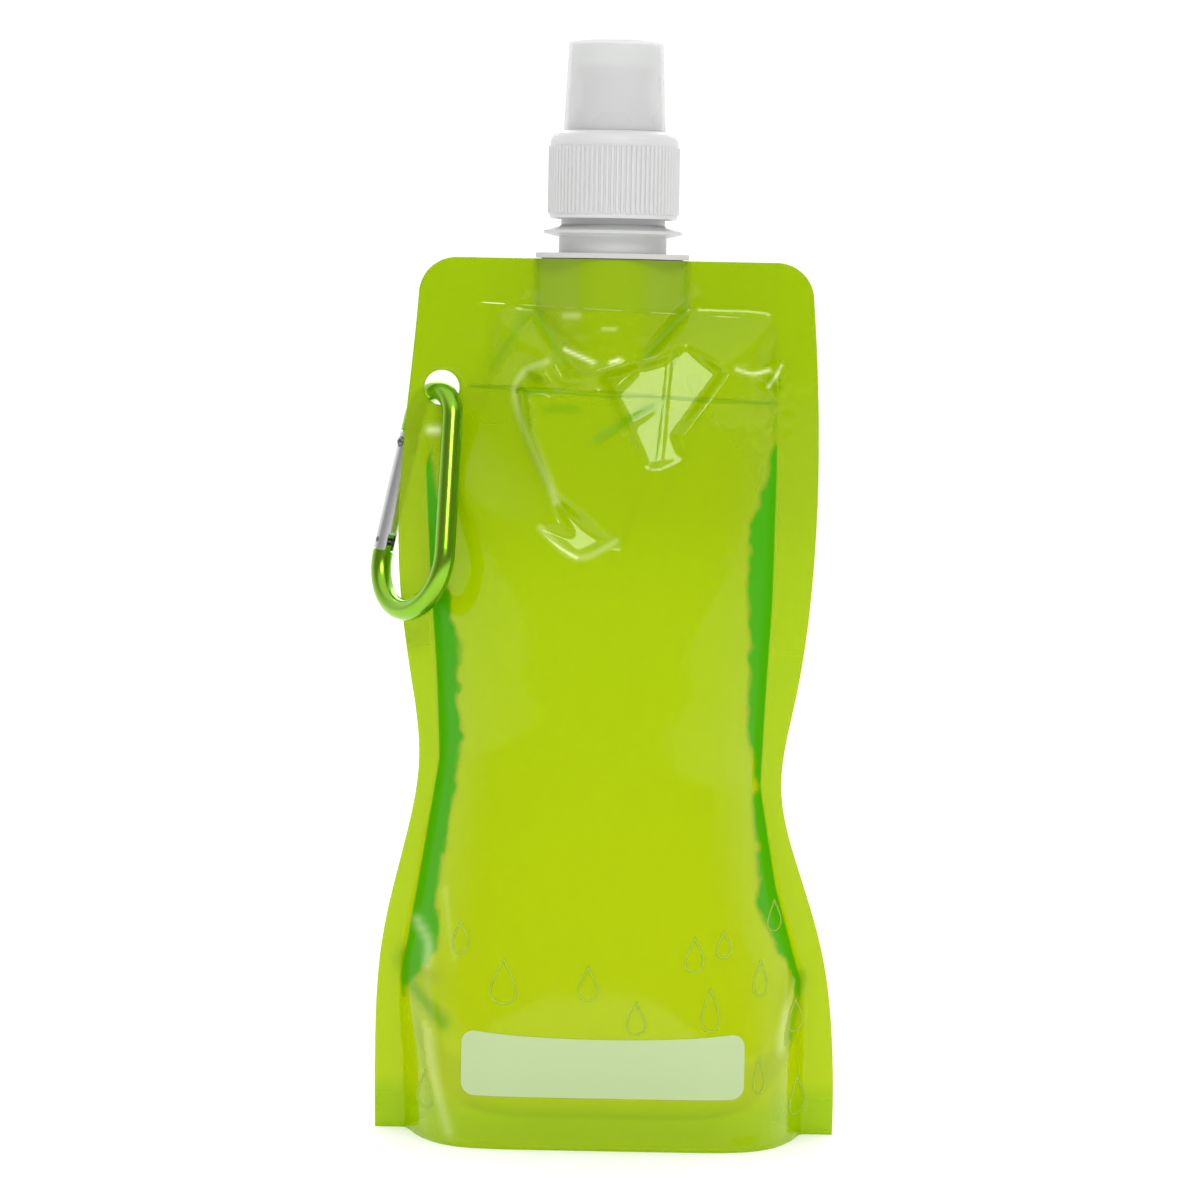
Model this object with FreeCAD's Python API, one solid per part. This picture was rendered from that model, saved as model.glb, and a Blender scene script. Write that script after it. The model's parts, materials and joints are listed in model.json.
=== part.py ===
"""Folding water bottle: a stand-up film pouch with a welded spout, a push-pull drinking cap and a carabiner.

Millimetres, +Z up. The origin is on the table under the spout's axis, and the front faces -Y.
"""

import FreeCAD, Part
import math
import os

Vector = FreeCAD.Vector
UP = Vector(0, 0, 1)
ORIGIN = Vector(0, 0, 0)

# ---------------------------------------------------------------- driving dimensions
POUCH_HEIGHT = 210.5
FILM = 0.3  # thickness of one laminate panel
SEAL_GAP = 0.12  # each panel's inner face stands this far off the middle plane
CORNER_RADIUS = 9.0  # top corners of the pouch

# Side edges of the film as (x, z), bottom to top. The filled pouch isn't symmetric.
LEFT_EDGE = [(-53.5, 0), (-53.8, 25), (-52.6, 45), (-47.8, 68), (-44.3, 90), (-47.0, 112),
             (-49.9, 136), (-49.6, 162), (-47.6, 185), (-46.2, 201.5)]
RIGHT_EDGE = [(57.3, 0), (56.6, 26), (54.0, 44), (47.6, 65), (43.2, 84), (46.1, 105),
              (49.4, 130), (50.5, 160), (49.7, 186), (48.6, 201.5)]
# Edges of the unsealed chamber between the panels, as (z, x).
CHAMBER_LEFT = [(-5, -45.4), (15, -46.4), (37, -48.0), (62, -43.9), (90, -39.6), (112, -40.6),
                (136, -42.6), (160, -44.0), (170, -42.0), (180, -34), (188, -29.5), (215, -29)]
CHAMBER_RIGHT = [(-5, 49.2), (15, 49.4), (38, 48.9), (60, 42.6), (84, 38.4), (105, 39.1),
                 (130, 40.3), (160, 40.7), (185, 40.4), (215, 39.5)]
CHAMBER_TOP = 198.5
SHOULDER_SLOPE = 1.05  # how fast the chamber opens below its top seal
# Half thickness of the filled chamber and squareness of its cross-section, as (z, value).
CHAMBER_DEPTH = [(-5, 27.8), (8, 27.2), (25, 29.0), (50, 27.5), (80, 24.0), (110, 22.3),
                 (150, 20.5), (175, 18.5), (195, 16.5), (215, 14.5)]
CHAMBER_SQUARENESS = [(-5, 8.0), (10, 6.6), (30, 4.5), (55, 3.5), (90, 3.1), (150, 2.8), (215, 2.8)]

HOLE_X, HOLE_Z, HOLE_RADIUS = -40.3, 179.2, 4.2
EAR_RADIUS = 8.6  # sealed film kept round the hole
EAR_SLOPE = 0.6
ROOF_ROUNDING, EAR_ROUNDING, BOAT_ROUNDING, SEAL_ROUNDING = 3.0, 2.0, 1.0, 0.8  # where the film bends
SHEET_REACH, SHEET_SHARE = 61, 1.25  # the sheets are made this far out, then trimmed to the outline
SHEET_BOTTOM, SHEET_TOP, SHEET_COLUMNS, SHEET_ROWS = -3, 213, 79, 73
TRIM_DEPTH = 40  # more than the films' greatest depth

GUSSET_SEAL_HEIGHT = 9.0  # height of the gusset's seal at the middle of the front
GUSSET_PEAK = 37.0  # where the gusset's fold meets the side seals
GUSSET_REACH = 50.0
GUSSET_LEFT, GUSSET_RIGHT = -44.0, 48.0
GUSSET_SAG, GUSSET_SAG_HALF = 5.0, 25.0  # the sag, and the half width from which it is full
GUSSET_CLEARANCE = 0.35

# Spout fitment
BORE_RADIUS = 10.8
NECK_RADIUS = 12.9
NECK_UPPER_RADIUS = 12.45
NECK_TOP = 234.6
BOAT_RADIUS = 12.2
BOAT_HALF_LENGTH = 17.4
BOAT_FIN_HALF = 0.6
BOAT_CLEARANCE = 0.5
BOAT_HEIGHT = 11.5
BOAT_RIBS, BOAT_RIB_HEIGHT, BOAT_RIB_DEPTH = 4, 1.5, 0.5
FLANGE_BOTTOM, FLANGE_TOP = 210.7, 211.9
FLANGE_HALF_LENGTH, FLANGE_HALF_WIDTH = 18.4, 13.8
RING_HEIGHT, RING_RADIUS = 217.0, 16.6
RING_HALF_ROOT = 1.2
THREAD_PITCH = 4.0
THREAD_TURNS = 1.5
THREAD_START = 225.0
NECK_THREAD_RADIUS = 13.6
THREAD_HALF_ROOT, THREAD_HALF_CREST = 1.05, 0.5
THREAD_ROOTING = 0.25  # how far the ridge is rooted inside its wall

# Screw cap
CAP_BOTTOM = 220.2
CAP_INNER_RADIUS = 14.2
CAP_THREAD_RADIUS = 13.0
SKIRT_RADIUS = 15.3
RIB_RADIUS = 15.75
RIB_COUNT = 80
RIB_BOTTOM, RIB_TOP = 221.4, 237.3
SEAL_INNER_RADIUS, SEAL_OUTER_RADIUS, SEAL_THICKNESS = 11.0, 13.8, 1.2
CAP_PLATE = NECK_TOP + SEAL_THICKNESS
RIB_SHARES = ((0.0, SKIRT_RADIUS), (0.3, SKIRT_RADIUS), (0.45, RIB_RADIUS), (0.85, RIB_RADIUS))
SHOULDER_TOP, SHOULDER_ROUND = 241.1, 3.0
RECESS_FLOOR = 239.2
COLLAR_RADIUS, COLLAR_TOP = 11.05, 243.7
COLLAR_BEAD_HEIGHT, COLLAR_BEAD = 242.5, 0.15
RECESS_RADIUS, RECESS_THICKNESS = 10.05, 1.2
PLUG_SEAL_BOTTOM, PLUG_SEAL_BEAD_HEIGHT = 231.8, 233.0  # the skirt that seals inside the neck
PLUG_SEAL_INNER, PLUG_SEAL_OUTER, PLUG_SEAL_BEAD = 9.3, 10.3, 10.45
CHIMNEY_RADIUS, CHIMNEY_BORE, CHIMNEY_TOP = 6.2, 4.9, 247.2
CHIMNEY_HEAD_RADIUS, CHIMNEY_HEAD_BOTTOM = 6.55, 245.7
PLUG_RADIUS, PLUG_BOTTOM, PLUG_TOP = 2.92, 253.4, 256.2
POST_RADIUS, POST_TOP = 1.7, 252.0
SPOKE_COUNT, SPOKE_WIDTH, SPOKE_HEIGHT = 3, 1.2, 2.0

# Pull-up drinking spout
PULL_BOTTOM, PULL_TOP = 239.5, 256.7
PULL_LIP_TOP = 241.0
ORIFICE_RADIUS = 3.0
PULL_SKIRT_RADIUS, PULL_SKIRT_TOP = 9.75, 246.0
PULL_WAIST_RADIUS, PULL_WAIST_BOTTOM, PULL_WAIST_TOP = 8.1, 247.0, 252.8
PULL_HEAD_RADIUS, PULL_HEAD_HEIGHT = 9.45, 255.0
PULL_BORE, PULL_LIP_BORE, PULL_CEILING = 6.75, 6.35, 253.2

# Dust cover
COVER_BOTTOM, COVER_TOP = 241.15, 262.6
COVER_BASE_RADIUS, COVER_TOP_RADIUS, COVER_WALL = 12.25, 11.35, 0.85
COVER_ROOF, COVER_EDGE = 0.95, 1.3

# Carabiner: a round rod bent round a small top bend and a larger bottom bend
ROD_RADIUS = 2.5
TOP_BEND, BOTTOM_BEND, BEND_DISTANCE = 7.8, 12.6, 33.1
HANG_ANGLE = 14.0  # lean of the line from the hole to where the ring passes the film's edge
TURN_ANGLE = 53.0  # turn of the ring out of the film's plane about that line
TWIST_ANGLE = 11.5  # the ring's long axis against that line, in the ring's own plane
HANG_DROP = 0.9  # the rod rests this far below the middle of the hole
PIVOT_ALONG = 6.2  # from the end of the top bend to the gate's pivot
GATE_START, GATE_GAP = 3.7, 0.3
TONGUE_HALF_THICKNESS, SLOT_HALF_WIDTH = 1.0, 1.15
PIN_RADIUS, PIN_HEAD_RADIUS, PIN_HEAD_HEIGHT = 0.75, 1.25, 1.0
PIN_SEAT = 2.1  # the flat under each rivet head, from the gate's middle
PIVOT_PLAY, GATE_PIN_PLAY, PIN_HEAD_PLAY = 0.05, 0.03, 0.05
LATCH_FROM_END = 2.4
LATCH_RADIUS = 0.6
GATE_BORE_RADIUS = 1.3
TONGUE_FLAT = 1.5  # from the pivot to the flat that the plunger presses on
PLUNGER_GAP, PLUNGER_HEAD, PLUNGER_STEM = 0.15, 2.2, 3.8
PLUNGER_PLAY, STEM_RADIUS = 0.1, 0.5
SPRING_LENGTH, SPRING_TURNS, SPRING_WIRE, SPRING_RADIUS = 10.0, 9, 0.18, 0.95
TONGUE_HALF_WIDTH = 2.0
HOOK_MOUTH = 0.9  # half width of the notch that takes the latch pin
BEYOND = 3.0  # cutters reach at least this far past the rod


# ---------------------------------------------------------------- helpers
def through(points):
    """A smooth function of z through (z, value) pairs, with a cubic between neighbours."""
    last = len(points) - 1

    def slope(i):
        a, b = points[max(i - 1, 0)], points[min(i + 1, last)]
        return (b[1] - a[1]) / (b[0] - a[0])

    def value(z):
        z = min(max(z, points[0][0]), points[last][0])
        i = 0
        while i < last - 1 and z > points[i + 1][0]:
            i += 1
        (z0, v0), (z1, v1) = points[i], points[i + 1]
        h = z1 - z0
        t = (z - z0) / h
        return (v0 * (1 + 2 * t) * (1 - t) ** 2 + slope(i) * h * t * (1 - t) ** 2
                + v1 * t * t * (3 - 2 * t) + slope(i + 1) * h * t * t * (t - 1))

    return value


def smooth_max(a, b, r):
    return 0.5 * (a + b + math.hypot(a - b, r))


def smooth_min(a, b, r):
    return 0.5 * (a + b - math.hypot(a - b, r))


def spread(low, high, count):
    return [low + (high - low) * i / (count - 1) for i in range(count)]


def lathe(profile):
    """The solid that a closed (radius, z) outline sweeps about the spout's axis."""
    wire = Part.makePolygon([Vector(r, 0, z) for r, z in profile + profile[:1]])
    return Part.Face(wire).revolve(ORIGIN, UP, 360)


def disc(radius, bottom, top):
    return Part.makeCylinder(radius, top - bottom, Vector(0, 0, bottom), UP)


def across(radius, x, half_height):
    """A cylinder along Z, centred on z = 0."""
    return Part.makeCylinder(radius, 2 * half_height, Vector(x, 0, -half_height), UP)


def union(first, *others):
    return first.multiFuse(list(others)).removeSplitter()


def save(shape, node):
    """Writes one node. A node with several solids stays a compound."""
    os.makedirs("parts", exist_ok=True)
    solids = shape.Solids
    for s in solids:
        if not s.isValid() or s.Volume <= 0:
            raise RuntimeError(f"{node} has a bad solid")
    (solids[0] if len(solids) == 1 else Part.makeCompound(solids)).exportStep(f"parts/{node}.step")
    print(node, "solids", len(solids), "volume", round(sum(s.Volume for s in solids), 1))


def sheet_solid(rows, thickness, normal_of):
    """A curved sheet of even thickness: rows of points on one face, offset along normal_of(i, j)."""
    near = [[Vector(*p) for p in row] for row in rows]
    far = [[p + normal_of(i, j) * thickness for j, p in enumerate(row)] for i, row in enumerate(near)]
    faces = []
    for grid in (near, far):
        surface = Part.BSplineSurface()
        surface.interpolate(grid)
        faces.append(surface.toShape())
    sides = []
    for edge in faces[0].Edges:
        middle = edge.valueAt((edge.FirstParameter + edge.LastParameter) / 2)
        partner = min(faces[1].Edges, key=lambda e: e.valueAt(
            (e.FirstParameter + e.LastParameter) / 2).distanceToPoint(middle))
        sides.append(Part.makeRuledSurface(edge, partner))
    shell = Part.Shell(faces + sides)
    shell.sewShape()
    solid = Part.Solid(Part.Shell(shell.Faces))
    if solid.Volume < 0:
        solid.reverse()
    return solid


# ---------------------------------------------------------------- pouch
chamber_left, chamber_right = through(CHAMBER_LEFT), through(CHAMBER_RIGHT)
chamber_depth, chamber_squareness = through(CHAMBER_DEPTH), through(CHAMBER_SQUARENESS)


def boat_half(x):
    """Half thickness of the spout's weld boat at distance x from its axis: a circle with straight flanks."""
    x = abs(x)
    tangent = math.acos(BOAT_RADIUS / BOAT_HALF_LENGTH)
    if x < BOAT_RADIUS * math.cos(tangent):
        return math.sqrt(BOAT_RADIUS ** 2 - x ** 2)
    return (BOAT_HALF_LENGTH - x) / math.tan(tangent)


def film_depth(x, z):
    """Distance from the middle plane to a panel's inner face."""
    left, right = chamber_left(z), chamber_right(z)
    offset = abs(2 * (x - left) / (right - left) - 1)
    body = chamber_depth(z) * (1 - offset ** chamber_squareness(z))
    roof = SHOULDER_SLOPE * (CHAMBER_TOP - z)
    ear = EAR_SLOPE * (math.hypot(x - HOLE_X, z - HOLE_Z) - EAR_RADIUS)
    filled = smooth_min(smooth_min(body, roof, ROOF_ROUNDING), ear, EAR_ROUNDING)
    ridge = boat_half(x) + BOAT_CLEARANCE
    return SEAL_GAP + smooth_max(0, smooth_max(filled, ridge, BOAT_ROUNDING), SEAL_ROUNDING)


def film_outline():
    """The flat outline of a panel, as a face in the middle plane."""
    def side(points):
        curve = Part.BSplineCurve()
        curve.interpolate([Vector(x, 0, z) for x, z in points])
        return curve.toShape()

    def corner(x, z, inward):
        mid = CORNER_RADIUS * (1 - math.sqrt(0.5))
        return Part.Arc(Vector(x, 0, z), Vector(x + inward * mid, 0, POUCH_HEIGHT - mid),
                        Vector(x + inward * CORNER_RADIUS, 0, POUCH_HEIGHT)).toShape()

    (xl, zl), (xr, zr) = LEFT_EDGE[-1], RIGHT_EDGE[-1]
    edges = [side(LEFT_EDGE), corner(xl, zl, 1),
             Part.makeLine(Vector(xl + CORNER_RADIUS, 0, POUCH_HEIGHT),
                           Vector(xr - CORNER_RADIUS, 0, POUCH_HEIGHT)),
             corner(xr, zr, -1), side(RIGHT_EDGE),
             Part.makeLine(Vector(RIGHT_EDGE[0][0], 0, 0), Vector(LEFT_EDGE[0][0], 0, 0))]
    return Part.Face(Part.Wire(Part.__sortEdges__(edges)))


def film_x(share, z):
    """x of a grid column that follows the chamber's edge near -1 and 1, and ends past the outline."""
    middle, half = (chamber_left(z) + chamber_right(z)) / 2, (chamber_right(z) - chamber_left(z)) / 2
    end = math.copysign(SHEET_REACH, share) - middle - half * math.copysign(SHEET_SHARE, share)
    return middle + half * share + end * (share / SHEET_SHARE) ** 4


def panel(front):
    """The front or back film: a bulged sheet trimmed to the outline, with the carabiner's hole."""
    sign = -1 if front else 1
    shares = spread(-SHEET_SHARE, SHEET_SHARE, SHEET_COLUMNS)
    zs = spread(SHEET_BOTTOM, SHEET_TOP, SHEET_ROWS)
    step = 0.05

    def normal(i, j):
        x, z = film_x(shares[j], zs[i]), zs[i]
        gx = (film_depth(x + step, z) - film_depth(x - step, z)) / (2 * step)
        gz = (film_depth(x, z + step) - film_depth(x, z - step)) / (2 * step)
        return Vector(-gx, sign, -gz).normalize()

    rows = []
    for z in zs:
        xs = [film_x(share, z) for share in shares]
        rows.append([(x, sign * film_depth(x, z), z) for x in xs])
    sheet = sheet_solid(rows, FILM, normal)
    prism = film_outline().extrude(Vector(0, sign * TRIM_DEPTH, 0))
    hole = Part.makeCylinder(HOLE_RADIUS, 2 * TRIM_DEPTH, Vector(HOLE_X, -TRIM_DEPTH, HOLE_Z),
                             Vector(0, 1, 0))
    return sheet.common(prism).cut(hole)


def gusset_seal(x):
    """Height of the gusset's seal: flat across the middle, then up to the fold's ends."""
    middle = (GUSSET_LEFT + GUSSET_RIGHT) / 2
    return GUSSET_SEAL_HEIGHT + (GUSSET_PEAK - GUSSET_SEAL_HEIGHT) * abs((x - middle) / GUSSET_REACH) ** 6


def gusset():
    """The bottom film: a saddle that dips in the middle and climbs to the side seals."""
    xs, shares = spread(GUSSET_LEFT, GUSSET_RIGHT, 41), spread(-1, 1, 15)
    step, share_step = 0.05, 0.02

    def point(x, share):
        seal = gusset_seal(x)
        half = film_depth(x, seal) - GUSSET_CLEARANCE
        sag = GUSSET_SAG * min(half / GUSSET_SAG_HALF, 1)
        return Vector(x, share * half, seal - sag * (1 - share ** 2))

    def normal(i, j):
        x, share = xs[i], shares[j]
        a = point(x + step, share) - point(x - step, share)
        b = point(x, min(share + share_step, 1)) - point(x, max(share - share_step, -1))
        n = a.cross(b).normalize()
        return n if n.z > 0 else n * -1

    return sheet_solid([[tuple(point(x, s)) for s in shares] for x in xs], FILM, normal)


# ---------------------------------------------------------------- spout and cap
def thread(wall_radius, crest_radius, start):
    """A helical ridge from the wall to the crest."""
    outward = 1 if crest_radius > wall_radius else -1
    root = wall_radius - outward * THREAD_ROOTING
    helix = Part.makeHelix(THREAD_PITCH, THREAD_PITCH * THREAD_TURNS, wall_radius)
    points = [Vector(root, 0, -THREAD_HALF_ROOT), Vector(crest_radius, 0, -THREAD_HALF_CREST),
              Vector(crest_radius, 0, THREAD_HALF_CREST), Vector(root, 0, THREAD_HALF_ROOT)]
    profile = Part.makePolygon(points + points[:1])
    ridge = Part.Wire(helix.Edges).makePipeShell([profile], True, True)
    ridge.translate(Vector(0, 0, start))
    return ridge


def boat_layer(half_length, radius, bottom, top):
    """One layer of the weld boat: a disc drawn out to two fins."""
    tangent = math.acos(radius / half_length)
    tx, ty = radius * math.cos(tangent), radius * math.sin(tangent)
    f = BOAT_FIN_HALF
    corners = [(-half_length, -f), (-tx, -ty), (tx, -ty), (half_length, -f),
               (half_length, f), (tx, ty), (-tx, ty), (-half_length, f)]
    wire = Part.makePolygon([Vector(x, y, bottom) for x, y in corners + corners[:1]])
    return Part.Face(wire).extrude(Vector(0, 0, top - bottom)).fuse(disc(radius, bottom, top))


def spout_fitment():
    """Weld boat with sealing ribs, oval flange, neck with a support ring, and the outside thread."""
    bottom = FLANGE_BOTTOM - BOAT_HEIGHT
    layers = [boat_layer(BOAT_HALF_LENGTH - BOAT_RIB_DEPTH, BOAT_RADIUS - BOAT_RIB_DEPTH, bottom,
                         FLANGE_BOTTOM)]
    inset = 0.4
    spacing = (BOAT_HEIGHT - BOAT_RIB_HEIGHT - 2 * inset) / (BOAT_RIBS - 1)
    for i in range(BOAT_RIBS):
        z = bottom + inset + i * spacing
        layers.append(boat_layer(BOAT_HALF_LENGTH, BOAT_RADIUS, z, z + BOAT_RIB_HEIGHT))
    oval = Part.Ellipse(Vector(0, 0, FLANGE_BOTTOM), FLANGE_HALF_LENGTH, FLANGE_HALF_WIDTH)
    flange = Part.Face(Part.Wire(oval.toShape())).extrude(Vector(0, 0, FLANGE_TOP - FLANGE_BOTTOM))
    neck = lathe([(BORE_RADIUS, FLANGE_BOTTOM), (NECK_RADIUS, FLANGE_BOTTOM),
                  (NECK_RADIUS, RING_HEIGHT - RING_HALF_ROOT), (RING_RADIUS, RING_HEIGHT - 0.4),
                  (RING_RADIUS, RING_HEIGHT + 0.3), (NECK_RADIUS, RING_HEIGHT + RING_HALF_ROOT),
                  (NECK_UPPER_RADIUS, RING_HEIGHT + 1.8), (NECK_UPPER_RADIUS, NECK_TOP - 0.5),
                  (NECK_UPPER_RADIUS - 0.5, NECK_TOP), (BORE_RADIUS, NECK_TOP)])
    ridge = thread(NECK_UPPER_RADIUS, NECK_THREAD_RADIUS, THREAD_START)
    body = union(layers[0], *layers[1:], flange, neck)
    body = body.cut(disc(BORE_RADIUS, bottom - 1, NECK_TOP + 1))
    return body.fuse(ridge)


def cap_seal():
    return lathe([(SEAL_INNER_RADIUS, NECK_TOP), (SEAL_OUTER_RADIUS, NECK_TOP),
                  (SEAL_OUTER_RADIUS, CAP_PLATE), (SEAL_INNER_RADIUS, CAP_PLATE)])


def ribbed_skirt():
    """The grip: a toothed ring of small trapezoid ribs."""
    points = []
    for i in range(RIB_COUNT):
        for share, radius in RIB_SHARES:
            a = 2 * math.pi * (i + share) / RIB_COUNT
            points.append(Vector(radius * math.cos(a), radius * math.sin(a), RIB_BOTTOM))
    ring = Part.Face(Part.makePolygon(points + points[:1])).extrude(Vector(0, 0, RIB_TOP - RIB_BOTTOM))
    return ring.cut(disc(SKIRT_RADIUS - 0.4, RIB_BOTTOM - 1, RIB_TOP + 1))


def rounded_edge(radius, top, rounding):
    """Points of a quarter circle from an outer wall up to a flat top, as (radius, z)."""
    angles = [math.radians(d) for d in range(0, 91, 15)]
    return [(radius + rounding * (math.cos(a) - 1), top + rounding * (math.sin(a) - 1)) for a in angles]


def screw_cap():
    """Threaded shell with a rounded shoulder, dust-cover collar, chimney and centre plug on spokes."""
    plate_bottom = RECESS_FLOOR - RECESS_THICKNESS
    outside = [(CAP_INNER_RADIUS, CAP_BOTTOM), (SKIRT_RADIUS - 0.2, CAP_BOTTOM),
               (SKIRT_RADIUS, CAP_BOTTOM + 0.6)]
    outside += rounded_edge(SKIRT_RADIUS, SHOULDER_TOP, SHOULDER_ROUND)
    collar = [(COLLAR_RADIUS, SHOULDER_TOP), (COLLAR_RADIUS, COLLAR_BEAD_HEIGHT - 0.3),
              (COLLAR_RADIUS + COLLAR_BEAD, COLLAR_BEAD_HEIGHT), (COLLAR_RADIUS, COLLAR_BEAD_HEIGHT + 0.3),
              (COLLAR_RADIUS, COLLAR_TOP - 0.3), (COLLAR_RADIUS - 0.3, COLLAR_TOP),
              (RECESS_RADIUS, COLLAR_TOP), (RECESS_RADIUS, RECESS_FLOOR)]
    chimney = [(CHIMNEY_RADIUS, RECESS_FLOOR), (CHIMNEY_RADIUS, CHIMNEY_HEAD_BOTTOM),
               (CHIMNEY_HEAD_RADIUS, CHIMNEY_HEAD_BOTTOM + 0.3), (CHIMNEY_HEAD_RADIUS, CHIMNEY_TOP - 0.5),
               (CHIMNEY_RADIUS - 0.2, CHIMNEY_TOP), (CHIMNEY_BORE, CHIMNEY_TOP),
               (CHIMNEY_BORE, plate_bottom)]
    plug_seal = [(PLUG_SEAL_INNER, plate_bottom), (PLUG_SEAL_INNER, PLUG_SEAL_BOTTOM),
                 (PLUG_SEAL_OUTER, PLUG_SEAL_BOTTOM), (PLUG_SEAL_BEAD, PLUG_SEAL_BEAD_HEIGHT),
                 (PLUG_SEAL_OUTER, CAP_PLATE), (CAP_INNER_RADIUS, CAP_PLATE)]
    shell = lathe(outside + collar + chimney + plug_seal)
    post = lathe([(0, RECESS_FLOOR), (POST_RADIUS, RECESS_FLOOR), (POST_RADIUS, POST_TOP),
                  (PLUG_RADIUS, PLUG_BOTTOM), (PLUG_RADIUS, PLUG_TOP - 0.6), (PLUG_RADIUS - 0.7, PLUG_TOP),
                  (0, PLUG_TOP)])
    spokes = []
    for i in range(SPOKE_COUNT):
        spoke = Part.makeBox(CHIMNEY_BORE + 0.4, SPOKE_WIDTH, SPOKE_HEIGHT,
                             Vector(0, -SPOKE_WIDTH / 2, RECESS_FLOOR))
        spoke.rotate(ORIGIN, UP, 90 + i * 360 / SPOKE_COUNT)
        spokes.append(spoke)
    ridge = thread(CAP_INNER_RADIUS, CAP_THREAD_RADIUS, THREAD_START - THREAD_PITCH / 2)
    return union(shell, ribbed_skirt(), post, *spokes).fuse(ridge)


def pull_spout():
    """The drinking spout that slides on the chimney: skirt, waist, flared lip and centre orifice."""
    skirt = [(PULL_LIP_BORE, PULL_BOTTOM), (PULL_SKIRT_RADIUS - 0.25, PULL_BOTTOM),
             (PULL_SKIRT_RADIUS, PULL_BOTTOM + 0.3), (PULL_SKIRT_RADIUS, PULL_SKIRT_TOP),
             (PULL_SKIRT_RADIUS - 0.35, PULL_SKIRT_TOP + 0.4)]
    waist = [(PULL_WAIST_RADIUS + 0.2, PULL_WAIST_BOTTOM - 0.4), (PULL_WAIST_RADIUS, PULL_WAIST_BOTTOM),
             (PULL_WAIST_RADIUS, PULL_WAIST_TOP), (PULL_WAIST_RADIUS + 0.5, PULL_WAIST_TOP + 1.0)]
    head = [(PULL_HEAD_RADIUS - 0.15, PULL_HEAD_HEIGHT - 0.6), (PULL_HEAD_RADIUS, PULL_HEAD_HEIGHT),
            (PULL_HEAD_RADIUS - 0.15, PULL_HEAD_HEIGHT + 0.9), (PULL_HEAD_RADIUS - 0.75, PULL_TOP - 0.2),
            (PULL_HEAD_RADIUS - 1.55, PULL_TOP), (ORIFICE_RADIUS + 1.4, PULL_TOP - 0.2)]
    bore = [(ORIFICE_RADIUS, PULL_TOP - 0.6), (ORIFICE_RADIUS, PULL_CEILING + 1.6),
            (ORIFICE_RADIUS + 1.2, PULL_CEILING + 0.4), (PULL_BORE, PULL_CEILING),
            (PULL_BORE, PULL_LIP_TOP + 0.3), (PULL_LIP_BORE, PULL_LIP_TOP)]
    return lathe(skirt + waist + head + bore)


def dust_cover():
    """The clear tapered cover that snaps over the collar."""
    inner_base, inner_top = COVER_BASE_RADIUS - COVER_WALL, COVER_TOP_RADIUS - COVER_WALL
    ceiling = COVER_TOP - COVER_ROOF
    outside = [(inner_base, COVER_BOTTOM), (COVER_BASE_RADIUS, COVER_BOTTOM)]
    outside += rounded_edge(COVER_TOP_RADIUS, COVER_TOP, COVER_EDGE)
    return lathe(outside + [(0, COVER_TOP), (0, ceiling), (inner_top - 0.5, ceiling),
                            (inner_top, ceiling - 0.5)])


# ---------------------------------------------------------------- carabiner
# The ring is drawn flat: x runs down its long axis from the top bend's centre, y from gate to spine.
FLARE = math.asin((BOTTOM_BEND - TOP_BEND) / BEND_DISTANCE)
GATE_TOP = Vector(-TOP_BEND * math.sin(FLARE), -TOP_BEND * math.cos(FLARE), 0)
GATE_BOTTOM = Vector(BEND_DISTANCE - BOTTOM_BEND * math.sin(FLARE), -BOTTOM_BEND * math.cos(FLARE), 0)
GATE_LENGTH = GATE_TOP.distanceToPoint(GATE_BOTTOM)
GATE_PLACE = FreeCAD.Placement(GATE_TOP, FreeCAD.Rotation(UP, -math.degrees(FLARE)))


def ring_place():
    """Where the flat ring hangs: through the hole, turned out of the film's plane."""
    hang, turn, twist = (math.radians(a) for a in (HANG_ANGLE, TURN_ANGLE, TWIST_ANGLE))
    down = Vector(-math.sin(hang), 0, -math.cos(hang))
    beside = Vector(math.cos(hang), 0, -math.sin(hang))
    out = beside * math.cos(turn) + Vector(0, -1, 0) * math.sin(turn)
    long_axis = down * math.cos(twist) + out * math.sin(twist)
    cross_axis = out * math.cos(twist) - down * math.sin(twist)
    normal = long_axis.cross(cross_axis)
    centre = Vector(HOLE_X, 0, HOLE_Z) + down * (HANG_DROP + TOP_BEND)
    return FreeCAD.Placement(FreeCAD.Matrix(
        long_axis.x, cross_axis.x, normal.x, centre.x, long_axis.y, cross_axis.y, normal.y, centre.y,
        long_axis.z, cross_axis.z, normal.z, centre.z, 0, 0, 0, 1))


def bend(radius, centre_x, first, sweep):
    """Part of a torus: the rod bent round a centre on the long axis."""
    start = Vector(centre_x + radius * math.cos(first), radius * math.sin(first), 0)
    tangent = Vector(-math.sin(first), math.cos(first), 0)
    circle = Part.Face(Part.Wire(Part.makeCircle(ROD_RADIUS, start, tangent)))
    return circle.revolve(Vector(centre_x, 0, 0), UP, math.degrees(sweep))


def rod(start, end, radius=ROD_RADIUS):
    return Part.makeCylinder(radius, start.distanceToPoint(end), start, end - start)


def along_gate(shape):
    """Moves a shape drawn along +X into the gate's line."""
    shape.Placement = GATE_PLACE.multiply(shape.Placement)
    return shape


def slab(x0, x1, y0, y1, half):
    return Part.makeBox(x1 - x0, y1 - y0, 2 * half, Vector(x0, y0, -half))


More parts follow.
